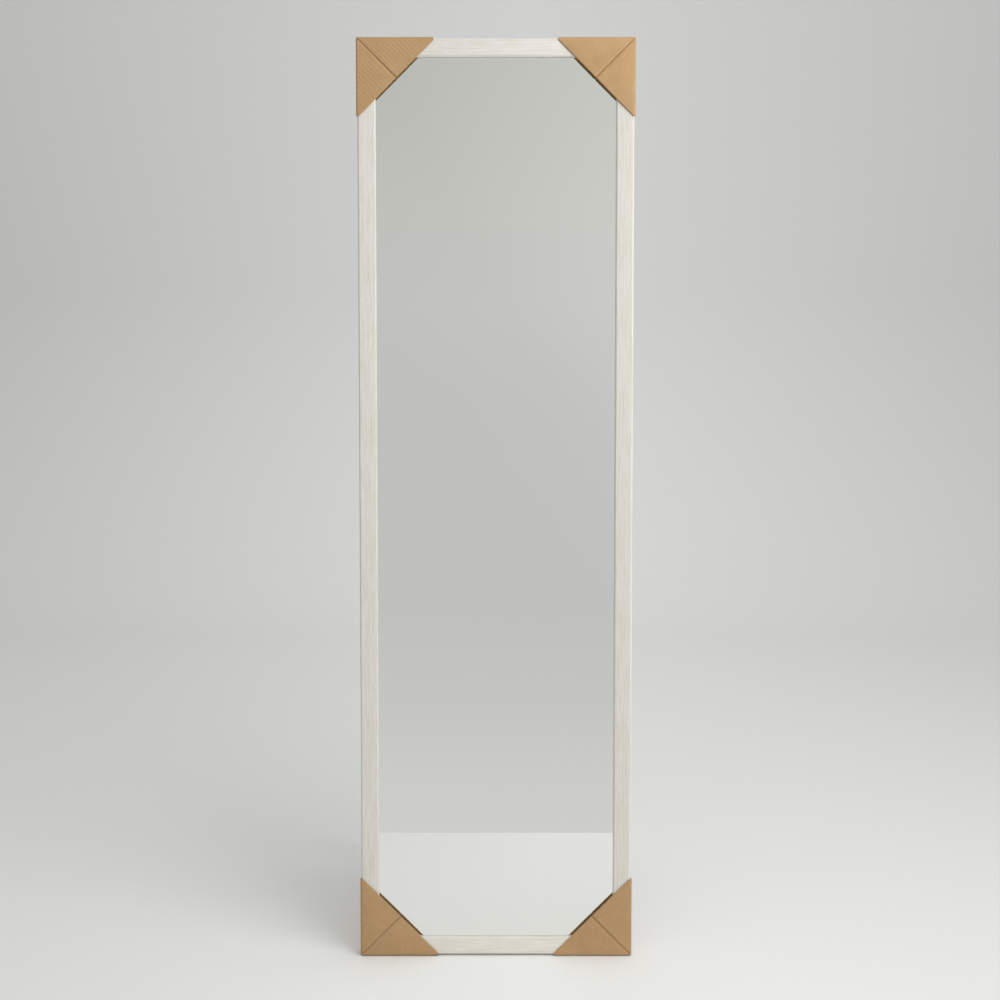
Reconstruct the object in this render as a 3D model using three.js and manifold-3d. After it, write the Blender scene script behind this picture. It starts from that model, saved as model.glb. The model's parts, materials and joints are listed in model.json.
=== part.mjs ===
// A tall floor mirror: glass in a mitred timber frame, held up from behind by a
// folding timber easel, with a folded board protector pushed over each corner.
// Millimetres, +Z up. The glass faces -Y and the frame leans back towards +Y.
import * as THREE from "three";
import { mergeVertices } from "three/addons/utils/BufferGeometryUtils.js";
import Module from "manifold-3d";

const wasm = await Module();
wasm.setup();

const GAP = 0.3; // left between pieces that touch
const LEAN = THREE.MathUtils.degToRad(5); // of the frame, back from upright
const SPREAD = THREE.MathUtils.degToRad(17); // between the frame and the open easel
const EASEL_RAKE = SPREAD - LEAN; // of the legs, from upright

// Frame moulding: a flat face with a rounded outer edge, and a bevel to the glass.
const FRAME_WIDTH = 476;
const FRAME_HEIGHT = 1599;
const FRAME_DEPTH = 22;
const FACE = 31; // from the outer edge to the sight edge
const LIP_DEPTH = 5.5; // timber in front of the glass
const REBATE = 8; // how far the lip reaches over the glass
const BODY = FACE - REBATE; // the full-depth part of the moulding
const EDGE_RADIUS = 3;
const SIGHT_BEVEL = 2.2;
const BACK_CHAMFER = 1;
const KEY = { along: 10, thick: 3, across: 18, inset: 12, y: 14 };

// Mirror glass, its board, and the beads that hold both in the rebate.
const GLASS_THICKNESS = 4;
const BOARD_THICKNESS = 3;
const EDGE_PLAY = 1;
const BEAD = 8;

// Corner protectors, folded from corrugated board.
const PROTECTOR_LEG = { top: 133, bottom: 137 };
const PROTECTOR_TIP = 6;
const BOARD_WALL = 2;
const SEAM = 0.8;
const CRUSH = 1.1; // how far the mirror's weight has flattened the lower two

// Hinges, and the batten across the back of the frame that carries them.
const PIN_Y = 18.8;
const PIN_Z = 1300;
const PIN_RADIUS = 1.4;
const KNUCKLE_RADIUS = 3;
const HINGE_X = 115;
const HINGE_LENGTH = 50;
const PIN_HALF = HINGE_LENGTH / 2 + 1;
const MIDDLE_KNUCKLE = 17.8;
const LEAF_WIDTH = 20;
const LEAF_THICKNESS = 1.5;
const LEAF_SPLIT = 0.2; // from the pin's centre plane to a shut leaf
const LEAF_SCREW_X = 15;
const LEAF_SCREW_Y = 14;
const TIMBER_OFF_PIN = LEAF_SPLIT + LEAF_THICKNESS + GAP;
const BATTEN = { halfLength: 234, thick: 22, high: 40, screwInset: 13, screwSpacing: 20 };

// Easel.
const EASEL_WIDTH = 380;
const LEG_WIDTH = 28;
const LEG_THICKNESS = 20;
const LEG_FRONT = 25 - PIN_Y; // clear of the protectors' back flaps when folded
const LEG_BACK = LEG_FRONT + LEG_THICKNESS;
const LEG_MIDDLE = (LEG_FRONT + LEG_BACK) / 2;
const TOP_RAIL_BOTTOM = -46;
const STRETCHER = { high: 28, thick: 12, z: -1010 };
const FOOT = { wide: 22, deep: 16, high: 3 };

// Screws, as [head radius, head depth, shank radius, length].
const LEAF_SCREW = [2.9, 1.4, 1.4, 14];
const TIMBER_SCREW = [4, 3.2, 2, 34];
const SCREW_SIDES = 20;
// The cross recess, in shares of the head's radius and depth.
const RECESS = { reach: 0.62, half: 0.13, depth: 0.7 };

const FINISH = {
  whitewash: { color: "#ddd8cc", roughness: 0.62, metalness: 0 },
  silvered: { color: "#cdd3cf", roughness: 0.03, metalness: 1 },
  hardboard: { color: "#8a6f52", roughness: 0.85, metalness: 0 },
  birch: { color: "#d8c39a", roughness: 0.8, metalness: 0 },
  kraft: { color: "#bd9162", roughness: 0.9, metalness: 0 },
  zinc: { color: "#b9b9b4", roughness: 0.35, metalness: 1 },
  rubber: { color: "#2b2b2c", roughness: 0.8, metalness: 0 },
};

const object = new THREE.Group();
const panel = new THREE.Group();
const hinge = new THREE.Group();
const easel = new THREE.Group();
object.add(panel);
panel.add(hinge);
hinge.add(easel);

// The lower protectors' back edges are the lowest point, less what is crushed.
const LOWEST =
  (FRAME_DEPTH + GAP + BOARD_WALL) * Math.sin(LEAN) +
  (GAP + BOARD_WALL) * Math.cos(LEAN);
panel.rotation.x = -LEAN;
panel.position.z = LOWEST - CRUSH;
hinge.position.set(0, PIN_Y, PIN_Z);
easel.rotation.x = SPREAD;
const PIN_HEIGHT =
  panel.position.z - PIN_Y * Math.sin(LEAN) + PIN_Z * Math.cos(LEAN);

function place(parent, name, geometry, finish) {
  const mesh = new THREE.Mesh(geometry, new THREE.MeshStandardMaterial(FINISH[finish]));
  mesh.name = name;
  parent.add(mesh);
  return mesh;
}

function solidOf(geometry) {
  const bare = geometry.clone();
  bare.deleteAttribute("normal");
  bare.deleteAttribute("uv");
  const merged = mergeVertices(bare, 1e-4);
  return new wasm.Manifold(
    new wasm.Mesh({
      numProp: 3,
      vertProperties: merged.attributes.position.array,
      triVerts: new Uint32Array(merged.index.array),
    }),
  );
}

function geometryOf(solid) {
  const mesh = solid.getMesh();
  const geometry = new THREE.BufferGeometry();
  geometry.setAttribute("position", new THREE.BufferAttribute(mesh.vertProperties, 3));
  geometry.setIndex(new THREE.BufferAttribute(mesh.triVerts, 1));
  geometry.computeVertexNormals();
  return geometry;
}

function cut(geometry, ...tools) {
  return geometryOf(tools.reduce((rest, tool) => rest.subtract(solidOf(tool)), solidOf(geometry)));
}

function join(...geometries) {
  return geometryOf(geometries.map(solidOf).reduce((all, next) => all.add(next)));
}

// A box from its lowest to its highest corner.
function block([x0, y0, z0], [x1, y1, z1]) {
  return new THREE.BoxGeometry(x1 - x0, y1 - y0, z1 - z0).translate(
    (x0 + x1) / 2,
    (y0 + y1) / 2,
    (z0 + z1) / 2,
  );
}

// An outline of [y, z] points, extruded from x0 to x1.
function prismAlongX(outline, x0, x1) {
  const shape = new THREE.Shape(outline.map(([y, z]) => new THREE.Vector2(y, z)));
  const geometry = new THREE.ExtrudeGeometry(shape, { depth: x1 - x0, bevelEnabled: false });
  const toX = new THREE.Matrix4().makeBasis(
    new THREE.Vector3(0, 1, 0),
    new THREE.Vector3(0, 0, 1),
    new THREE.Vector3(1, 0, 0),
  );
  return geometry.applyMatrix4(toX).translate(x0, 0, 0);
}

// An outline of [x, z] points, extruded from y0 to y1.
function prismAlongY(outline, y0, y1) {
  const shape = new THREE.Shape(outline.map(([x, z]) => new THREE.Vector2(x, z)));
  const geometry = new THREE.ExtrudeGeometry(shape, { depth: y1 - y0, bevelEnabled: false });
  return geometry.rotateX(Math.PI / 2).translate(0, y1, 0);
}

function rodAlongX(radius, x0, x1, sides = 24) {
  const rod = new THREE.CylinderGeometry(radius, radius, x1 - x0, sides);
  return rod.rotateZ(-Math.PI / 2).translate((x0 + x1) / 2, 0, 0);
}

// A countersunk screw along -Y from its head's face at the origin. Grown by a
// margin, the same profile is the cutter for its hole.
function screwBody([headRadius, headDepth, shankRadius, length], margin = 0) {
  const point = shankRadius * 2;
  const aboveHead = margin > 0 ? [[headRadius + margin, 2 * margin]] : [];
  const profile = [
    [0, -length - margin],
    [shankRadius + margin, point - length],
    [shankRadius + margin, -headDepth - margin],
    [headRadius + margin, 0],
    ...aboveHead,
    [0, 2 * margin],
  ];
  const outline = profile.map(([radius, y]) => new THREE.Vector2(radius, y));
  return new THREE.LatheGeometry(outline, SCREW_SIDES);
}

// The screw with its cross recess.
function screw(sizes) {
  const [headRadius, headDepth] = sizes;
  const reach = headRadius * RECESS.reach;
  const half = headRadius * RECESS.half;
  const depth = headDepth * RECESS.depth;
  return cut(
    screwBody(sizes),
    block([-reach, -depth, -half], [reach, 1, half]),
    block([-half, -depth, -reach], [half, 1, reach]),
  );
}

const ALL_SIDES = ["left", "right"];
const sign = (side) => (side === "left" ? -1 : 1);

// Frame ---------------------------------------------------------------------

// The moulding's section: x runs in from the outer edge, y back from the face.
function mouldingShape() {
  const shape = new THREE.Shape();
  shape.moveTo(0, EDGE_RADIUS);
  shape.absarc(EDGE_RADIUS, EDGE_RADIUS, EDGE_RADIUS, Math.PI, 1.5 * Math.PI);
  shape.lineTo(FACE - SIGHT_BEVEL, 0);
  shape.lineTo(FACE, SIGHT_BEVEL);
  shape.lineTo(FACE, LIP_DEPTH);
  shape.lineTo(BODY, LIP_DEPTH);
  shape.lineTo(BODY, FRAME_DEPTH);
  shape.lineTo(BACK_CHAMFER, FRAME_DEPTH);
  shape.lineTo(0, FRAME_DEPTH - BACK_CHAMFER);
  return shape;
}

// One side of the frame, mitred at both ends by sliding each end's points along.
function mitredMember(length, halfSpan) {
  const geometry = new THREE.ExtrudeGeometry(mouldingShape(), {
    depth: length,
    bevelEnabled: false,
    curveSegments: 5,
  });
  const position = geometry.getAttribute("position");
  const mitreGap = GAP / Math.SQRT2;
  for (let i = 0; i < position.count; i++) {
    const end = position.getZ(i) > length / 2 ? 1 : -1;
    position.setZ(i, end * (length / 2 - position.getX(i) - mitreGap));
  }
  return geometry.translate(-halfSpan, 0, 0);
}

// The flat key that crosses each mitre, or with a margin the slot for it.
function mitreKey(xSign, zSign, margin = 0) {
  const key = new THREE.BoxGeometry(
    KEY.along + 2 * margin,
    KEY.thick + 2 * margin,
    KEY.across + 2 * margin,
  );
  return key
    .rotateY(xSign * zSign * (Math.PI / 4))
    .translate(xSign * (FRAME_WIDTH / 2 - KEY.inset), KEY.y, zSign * (FRAME_HEIGHT / 2 - KEY.inset));
}

function battenScrewPlaces(side) {
  const middle = TIMBER_OFF_PIN + BATTEN.high / 2;
  const x = sign(side) * (FRAME_WIDTH / 2 - BATTEN.screwInset);
  return [
    ["lower", x, middle - BATTEN.screwSpacing / 2],
    ["upper", x, middle + BATTEN.screwSpacing / 2],
  ];
}

// The batten's screws go in along -Y from its back face.
const BATTEN_BACK = FRAME_DEPTH + GAP + BATTEN.thick;

function battenScrewHoles(side, middleZ) {
  return battenScrewPlaces(side).map(([, x, z]) =>
    screwBody(TIMBER_SCREW, GAP).translate(x, BATTEN_BACK, PIN_Z + z - middleZ),
  );
}

function buildFrame() {
  const frame = new THREE.Group();
  const middle = FRAME_HEIGHT / 2;
  frame.position.z = middle;
  panel.add(frame);
  const stileTurn = { left: 0, right: Math.PI };
  for (const side of ALL_SIDES) {
    const stile = mitredMember(FRAME_HEIGHT, FRAME_WIDTH / 2).rotateY(stileTurn[side]);
    const s = sign(side);
    const holes = battenScrewHoles(side, middle);
    const slots = [mitreKey(s, 1, GAP), mitreKey(s, -1, GAP)];
    place(frame, `frame_stile_${side}`, cut(stile, ...slots, ...holes), "whitewash");
  }
  for (const [end, s] of [["top", 1], ["bottom", -1]]) {
    const rail = mitredMember(FRAME_WIDTH, FRAME_HEIGHT / 2).rotateY((s * Math.PI) / 2);
    const slots = [mitreKey(-1, s, GAP), mitreKey(1, s, GAP)];
    place(frame, `frame_rail_${end}`, cut(rail, ...slots), "whitewash");
    for (const side of ALL_SIDES) {
      place(frame, `mitre_key_${end}_${side}`, mitreKey(sign(side), s), "birch");
    }
  }
}

// Glass, board and beads ----------------------------------------------------

function buildGlazing() {
  const halfWidth = FRAME_WIDTH / 2 - BODY;
  const bottom = BODY;
  const top = FRAME_HEIGHT - BODY;
  const sheet = (y, thickness) =>
    block(
      [-halfWidth + EDGE_PLAY, y, bottom + EDGE_PLAY],
      [halfWidth - EDGE_PLAY, y + thickness, top - EDGE_PLAY],
    );
  const glassFront = LIP_DEPTH + GAP;
  const boardFront = glassFront + GLASS_THICKNESS + GAP;
  const beadFront = boardFront + BOARD_THICKNESS + GAP;
  place(panel, "mirror_glass", sheet(glassFront, GLASS_THICKNESS), "silvered");
  place(panel, "backing_board", sheet(boardFront, BOARD_THICKNESS), "hardboard");

  const outer = halfWidth - GAP;
  const inner = outer - BEAD;
  const back = beadFront + BEAD;
  for (const side of ALL_SIDES) {
    const [x0, x1] = side === "left" ? [-outer, -inner] : [inner, outer];
    const bead = block([x0, beadFront, bottom + GAP], [x1, back, top - GAP]);
    place(panel, `backing_bead_${side}`, bead, "birch");
  }
  const spans = { bottom: bottom + GAP, top: top - GAP - BEAD };
  for (const [end, z] of Object.entries(spans)) {
    const bead = block([-inner + GAP, beadFront, z], [inner - GAP, back, z + BEAD]);
    place(panel, `backing_bead_${end}`, bead, "birch");
  }
}

// Corner protectors ---------------------------------------------------------

// A pocket over one corner, its outer corner at the origin, reaching +X and -Z.
// Two flaps meet in front on the seam from the corner, and two behind.
function protectorPocket(far) {
  const tip = PROTECTOR_TIP;
  const outside = prismAlongY(
    [[0, 0], [0, -far], [tip, -far], [far, -tip], [far, 0]],
    -GAP - BOARD_WALL,
    FRAME_DEPTH + GAP + BOARD_WALL,
  );
  const hollow = block(
    [BOARD_WALL, -GAP, -far - 1],
    [far + 1, FRAME_DEPTH + GAP, -BOARD_WALL],
  );
  const seam = block([0, -FRAME_DEPTH, -SEAM / 2], [far, 2 * FRAME_DEPTH, SEAM / 2])
    .rotateY(Math.PI / 4)
    .translate(BOARD_WALL, 0, -BOARD_WALL);
  return cut(outside, hollow, seam);
}

function buildProtectors() {
  const stand = GAP + BOARD_WALL;
  const x = FRAME_WIDTH / 2 + stand;
  const corners = [
    ["top_left", -x, FRAME_HEIGHT + stand, 0],
    ["top_right", x, FRAME_HEIGHT + stand, 1],
    ["bottom_right", x, -stand, 2],
    ["bottom_left", -x, -stand, 3],
  ];
  const underFloor = block([-FRAME_WIDTH, -FRAME_WIDTH, -10], [FRAME_WIDTH, FRAME_WIDTH, 0]);
  for (const [corner, cornerX, cornerZ, quarterTurns] of corners) {
    const pocket = protectorPocket(PROTECTOR_LEG[corner.split("_")[0]]);
    const mesh = place(panel, `corner_protector_${corner}`, pocket, "kraft");
    mesh.position.set(cornerX, 0, cornerZ);
    mesh.rotation.y = (quarterTurns * Math.PI) / 2;
    mesh.updateWorldMatrix(true, false);
    const floorSeenFromHere = mesh.matrixWorld.clone().invert();
    mesh.geometry = cut(mesh.geometry, underFloor.clone().applyMatrix4(floorSeenFromHere));
  }
}

// Batten and hinges ---------------------------------------------------------

// Screws of the frame leaves point up into the batten, those of the easel
// leaves down into the easel's top rail.
function leafScrewPlaces(side) {
  const x = sign(side) * HINGE_X;
  return [
    ["inner", x - sign(side) * LEAF_SCREW_X],
    ["outer", x + sign(side) * LEAF_SCREW_X],
  ];
}

function leafScrewAt(body, x, up) {
  const turned = body.rotateX(up ? -Math.PI / 2 : Math.PI / 2);
  return turned.translate(x, LEAF_SCREW_Y, up ? LEAF_SPLIT : -LEAF_SPLIT);
}

function leafScrewHoles(up) {
  return ALL_SIDES.flatMap(leafScrewPlaces).map(([, x]) =>
    leafScrewAt(screwBody(LEAF_SCREW, GAP), x, up),
  );
}

// One leaf, shut: its plate above the pin's centre plane, its knuckles round the pin.
function leafShut(knuckles, gaps) {
  const half = HINGE_LENGTH / 2;
  const clear = KNUCKLE_RADIUS + GAP;
  const plate = block(
    [-half, 0, LEAF_SPLIT],
    [half, LEAF_WIDTH, LEAF_SPLIT + LEAF_THICKNESS],
  );
  const notches = gaps.map(([x0, x1]) => block([x0, -1, -clear], [x1, clear, clear]));
  const barrels = knuckles.map(([x0, x1]) => rodAlongX(KNUCKLE_RADIUS, x0, x1));
  const bore = rodAlongX(PIN_RADIUS + GAP, -half - 1, half + 1);
  return cut(join(cut(plate, ...notches), ...barrels), bore);
}

function frameLeaf() {
  const half = HINGE_LENGTH / 2;
  const inner = MIDDLE_KNUCKLE / 2 + GAP;
  return leafShut([[-half, -inner], [inner, half]], [[-inner, inner]]);
}

function easelLeaf() {
  const half = HINGE_LENGTH / 2 + 1;
  const middle = MIDDLE_KNUCKLE / 2;
  const leaf = leafShut([[-middle, middle]], [[-half, -middle], [middle, half]]);
  return leaf.scale(1, 1, -1);
}

// A mirrored geometry has its faces the wrong way round until they are turned.
function faceOut(geometry) {
  const index = geometry.index.array;
  for (let i = 0; i < index.length; i += 3) {
    [index[i + 1], index[i + 2]] = [index[i + 2], index[i + 1]];
  }
  geometry.computeVertexNormals();
  return geometry;
}

function buildBatten() {
  const bottom = TIMBER_OFF_PIN;
  const front = FRAME_DEPTH + GAP - PIN_Y;
  const batten = block(
    [-BATTEN.halfLength, front, bottom],
    [BATTEN.halfLength, front + BATTEN.thick, bottom + BATTEN.high],
  );
  const back = BATTEN_BACK - PIN_Y;
  const timberHoles = ALL_SIDES.flatMap(battenScrewPlaces).map(([, x, z]) =>
    screwBody(TIMBER_SCREW, GAP).translate(x, back, z),
  );
  place(hinge, "hinge_batten", cut(batten, ...timberHoles, ...leafScrewHoles(true)), "whitewash");
  for (const side of ALL_SIDES) {
    for (const [level, x, z] of battenScrewPlaces(side)) {
      const mesh = place(hinge, `batten_screw_${side}_${level}`, screw(TIMBER_SCREW), "zinc");
      mesh.position.set(x, back, z);
    }
  }
}

function buildHinges() {
  for (const side of ALL_SIDES) {
    const x = sign(side) * HINGE_X;
    const holes = (up) => leafScrewHoles(up).map((hole) => hole.translate(-x, 0, 0));
    const upper = cut(frameLeaf(), ...holes(true));
    const lower = cut(faceOut(easelLeaf()), ...holes(false));
    const pin = rodAlongX(PIN_RADIUS, -PIN_HALF, PIN_HALF);
    place(hinge, `hinge_${side}_frame_leaf`, upper, "zinc").position.x = x;
    place(hinge, `hinge_${side}_easel_leaf`, lower, "zinc").position.x = x;
    place(hinge, `hinge_${side}_pin`, pin, "zinc").position.x = x;
    for (const [where, screwX] of leafScrewPlaces(side)) {
      const up = leafScrewAt(screw(LEAF_SCREW), screwX, true);
      const down = leafScrewAt(screw(LEAF_SCREW), screwX, false);
      place(hinge, `hinge_${side}_frame_screw_${where}`, up, "zinc");
      place(hinge, `hinge_${side}_easel_screw_${where}`, down, "zinc");
    }
  }
}

// Easel ---------------------------------------------------------------------

// The easel's own frame has its origin on the pins, and stands parallel to the
// mirror when folded. Its upper end is bevelled to shut against the batten.
const topAt = (y) => -y * Math.tan(SPREAD) - TIMBER_OFF_PIN / Math.cos(SPREAD);
const floorAt = (y, above) =>
  (above - PIN_HEIGHT - y * Math.sin(EASEL_RAKE)) / Math.cos(EASEL_RAKE);

// Screws through each leg into the rails, along X from the leg's outer face.
function railScrewAt(body, side, z) {
  const turned = body.rotateZ(side === "left" ? Math.PI / 2 : -Math.PI / 2);
  return turned.translate((sign(side) * EASEL_WIDTH) / 2, LEG_MIDDLE, z);
}

const RAIL_SCREWS = {
  top_rail: (topAt(LEG_MIDDLE) + TOP_RAIL_BOTTOM) / 2,
  stretcher: STRETCHER.z,
};

function railHoles(side) {
  return Object.values(RAIL_SCREWS).map((z) =>
    railScrewAt(screwBody(TIMBER_SCREW, GAP), side, z),
  );
}

function buildEasel() {
  const legFoot = FOOT.high + GAP;
  const legOutline = [
    [LEG_FRONT, floorAt(LEG_FRONT, legFoot)],
    [LEG_BACK, floorAt(LEG_BACK, legFoot)],
    [LEG_BACK, topAt(LEG_BACK)],
    [LEG_FRONT, topAt(LEG_FRONT)],
  ];
  const outer = EASEL_WIDTH / 2;
  const inner = outer - LEG_WIDTH;
  for (const side of ALL_SIDES) {
    const [x0, x1] = side === "left" ? [-outer, -inner] : [inner, outer];
    const leg = cut(prismAlongX(legOutline, x0, x1), ...railHoles(side));
    place(easel, `easel_leg_${side}`, leg, "whitewash");
    const foot = place(
      easel,
      `easel_foot_${side}`,
      new THREE.BoxGeometry(FOOT.wide, FOOT.deep, FOOT.high),
      "rubber",
    );
    const belowLeg = FOOT.high / 2 + GAP;
    foot.position.set(
      (x0 + x1) / 2,
      LEG_MIDDLE - belowLeg * Math.sin(EASEL_RAKE),
      floorAt(LEG_MIDDLE, legFoot) - belowLeg * Math.cos(EASEL_RAKE),
    );
    foot.rotation.x = -EASEL_RAKE;
    for (const [rail, z] of Object.entries(RAIL_SCREWS)) {
      const body = railScrewAt(screw(TIMBER_SCREW), side, z);
      place(easel, `easel_screw_${rail}_${side}`, body, "zinc");
    }
  }

  const reach = inner - GAP;
  const bothHoles = ALL_SIDES.flatMap(railHoles);
  const railOutline = [
    [LEG_FRONT, TOP_RAIL_BOTTOM],
    [LEG_BACK, TOP_RAIL_BOTTOM],
    [LEG_BACK, topAt(LEG_BACK)],
    [LEG_FRONT, topAt(LEG_FRONT)],
  ];
  const leafHoles = leafScrewHoles(false).map((hole) => hole.rotateX(-SPREAD));
  const topRail = cut(prismAlongX(railOutline, -reach, reach), ...bothHoles, ...leafHoles);
  place(easel, "easel_top_rail", topRail, "whitewash");
  const stretcher = block(
    [-reach, LEG_MIDDLE - STRETCHER.thick / 2, STRETCHER.z - STRETCHER.high / 2],
    [reach, LEG_MIDDLE + STRETCHER.thick / 2, STRETCHER.z + STRETCHER.high / 2],
  );
  place(easel, "easel_stretcher", cut(stretcher, ...bothHoles), "whitewash");
}

buildFrame();
buildGlazing();
buildProtectors();
buildBatten();
buildHinges();
buildEasel();

// The origin is on the floor, in the middle of the whole object's box.
object.updateMatrixWorld(true);
const bounds = new THREE.Box3().setFromObject(object, true);
object.position.y = -(bounds.min.y + bounds.max.y) / 2;

export default object;
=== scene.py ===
# %% [markdown]
# # A tall leaning floor mirror
# The real object is a slim sheet of mirror glass in a whitewashed timber frame.
# A folding timber easel holds it up from behind, and folded corrugated board
# still protects its four corners, as it does in a shop.
# The CAD model fixes every place and joint. Here each piece gets its fine
# shape and its finish. We load the CAD first, so that it can give us positions.

# %% Load the frame and the modelling tools
import json
import math
from collections import namedtuple

import bmesh
import bpy
from mathutils import Matrix, Vector


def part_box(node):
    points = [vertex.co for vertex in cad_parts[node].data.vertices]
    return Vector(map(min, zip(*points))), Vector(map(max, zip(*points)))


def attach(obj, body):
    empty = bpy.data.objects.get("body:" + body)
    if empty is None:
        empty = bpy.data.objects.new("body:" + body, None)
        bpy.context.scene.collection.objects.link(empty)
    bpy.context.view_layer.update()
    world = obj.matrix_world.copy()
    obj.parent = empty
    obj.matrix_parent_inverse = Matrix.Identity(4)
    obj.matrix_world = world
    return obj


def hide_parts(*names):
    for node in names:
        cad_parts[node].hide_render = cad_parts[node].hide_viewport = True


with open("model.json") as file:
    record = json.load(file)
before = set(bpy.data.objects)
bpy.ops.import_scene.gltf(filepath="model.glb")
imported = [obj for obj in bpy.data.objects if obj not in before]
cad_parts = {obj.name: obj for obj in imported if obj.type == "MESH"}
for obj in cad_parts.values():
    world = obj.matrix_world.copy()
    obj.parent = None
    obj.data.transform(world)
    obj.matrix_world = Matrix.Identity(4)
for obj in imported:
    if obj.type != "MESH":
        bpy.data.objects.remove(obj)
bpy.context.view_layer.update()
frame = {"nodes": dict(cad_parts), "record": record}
nodes = frame["nodes"]

# %% [markdown]
# ## The camera
# The mirror is seen from straight in front, from about chest height, looking
# slightly down. A normal 50 mm lens keeps its sides almost parallel. The camera
# could be aimed at an empty with a constraint, but plain numbers for its place
# and tilt are easier to reason about.

# %% Camera
LENS_MM = 50
SENSOR_MM = 36
CAMERA_PLACE = (0.007, -2.541, 1.151)
LOOK_DOWN = math.radians(8.16)

camera_data = bpy.data.cameras.new("camera")
camera_data.lens = LENS_MM
camera_data.sensor_width = SENSOR_MM
camera = bpy.data.objects.new("camera", camera_data)
camera.location = CAMERA_PLACE
camera.rotation_euler = (math.radians(90) - LOOK_DOWN, 0, 0)
bpy.context.scene.collection.objects.link(camera)
bpy.context.scene.camera = camera
print("camera tilt down, degrees:", round(math.degrees(LOOK_DOWN), 2))

# %% [markdown]
# ## Small helpers for node materials
# A finish is a little machine of nodes. A few helpers keep each recipe short:
# one starts a material and hands back its shader, another adds a node, sets its
# values and wires its inputs in one line, and the rest are steps that most
# recipes need. The same nodes could be added by hand in the shader editor.

# %% Material helpers
def start_finish(name, roughness, metallic=0.0):
    """A new material with a principled shader, ready for its nodes."""
    finish = bpy.data.materials.new(name)
    finish.use_nodes = True
    shader = finish.node_tree.nodes["Principled BSDF"]
    shader.inputs["Roughness"].default_value = roughness
    shader.inputs["Metallic"].default_value = metallic
    return finish, shader


def wire(finish, source, target):
    finish.node_tree.links.new(source, target)


def set_input(finish, target, value):
    """Gives an input its value, or wires it to an output socket."""
    if isinstance(value, bpy.types.NodeSocket):
        wire(finish, value, target)
    else:
        target.default_value = value


def add_node(finish, kind, inputs=None, **settings):
    """Adds a node with its settings; inputs are values or output sockets."""
    node = finish.node_tree.nodes.new("ShaderNode" + kind)
    for setting, value in settings.items():
        setattr(node, setting, value)
    for socket, value in (inputs or {}).items():
        set_input(finish, node.inputs[socket], value)
    return node


def object_place(finish):
    """Where a point lies in its object's own coordinates."""
    return add_node(finish, "TexCoord").outputs["Object"]


def colour_steps(finish, factor, steps):
    """A colour ramp from (position, colour) pairs, driven by factor."""
    ramp = add_node(finish, "ValToRGB", {"Fac": factor})
    elements = ramp.color_ramp.elements
    while len(elements) < len(steps):
        elements.new(0.5)
    for element, (position, colour) in zip(elements, steps):
        element.position = position
        element.color = (*colour, 1)
    return ramp.outputs["Color"]


def blend_colours(finish, how, amount, first, second):
    """Mixes two colours; how is MIX, MULTIPLY, OVERLAY and so on."""
    mix = add_node(finish, "Mix", data_type="RGBA", blend_type=how)
    colour_inputs = [socket for socket in mix.inputs if socket.type == "RGBA"]
    targets = [mix.inputs["Factor"], *colour_inputs]
    for target, value in zip(targets, (amount, first, second)):
        set_input(finish, target, value)
    return next(socket for socket in mix.outputs if socket.type == "RGBA")


def multiplied(finish, base, amount, factor, steps):
    """Multiplies a colour by a ramp; an amount of 0 leaves it as it was."""
    ramp = colour_steps(finish, factor, steps)
    return blend_colours(finish, "MULTIPLY", amount, base, ramp)


def toned(steps, tone):
    """Colour steps made lighter or darker all together."""
    return [(at, [tone * part for part in colour]) for at, colour in steps]


def along_grain(finish, turn, shift):
    """Object coordinates turned so that the timber's length runs along Z."""
    inputs = {"Vector": object_place(finish), "Rotation": turn}
    turned = add_node(finish, "Mapping", inputs).outputs["Vector"]
    shifted = add_node(finish, "Mapping", {"Vector": turned, "Location": shift})
    return shifted.outputs["Vector"]


def stretched(finish, vector, amount):
    """Scales the Z coordinate: an amount below 1 draws a pattern out along Z."""
    mapping = add_node(finish, "Mapping", {"Vector": vector, "Scale": (1, 1, amount)})
    return mapping.outputs["Vector"]


def noise(finish, vector, scale, detail, roughness, distortion=0.0):
    """Soft random patches; a larger scale makes them finer."""
    values = {
        "Vector": vector,
        "Scale": scale,
        "Detail": detail,
        "Roughness": roughness,
        "Distortion": distortion,
    }
    return add_node(finish, "TexNoise", values).outputs["Fac"]


def bump(finish, height, strength, depth, under=None):
    """A normal from a height; depth is in metres, under is a bump below it."""
    inputs = {"Height": height, "Strength": strength, "Distance": depth}
    if under is not None:
        inputs["Normal"] = under
    return add_node(finish, "Bump", inputs).outputs["Normal"]


print("material helpers ready")

# %% [markdown]
# ## Whitewashed timber
# Pale softwood is brushed with thinned white paint and wiped, so the grain
# still shows through as faint beige lines. An image of wood would be the quick
# way, but a solid procedural grain runs right through each member, so the long
# faces and the cut ends agree. Growth rings, drawn out along the length, give
# the figure; streaks, broad bands and a scatter of pores, all drawn out the
# same way, give the brushed surface.

# %% Whitewash
LEAN = math.radians(5)
RAKE = math.radians(12)
TURN_TO_GRAIN = {
    "up_the_frame": (LEAN, 0, 0),
    "across": (0, math.radians(-90), 0),
    "down_the_leg": (-RAKE, 0, 0),
}
CHALK_WHITE = (0.78, 0.757, 0.712)
GRAIN_CREAM = (0.768, 0.743, 0.695)
GRAIN_BEIGE = (0.735, 0.702, 0.65)


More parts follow.
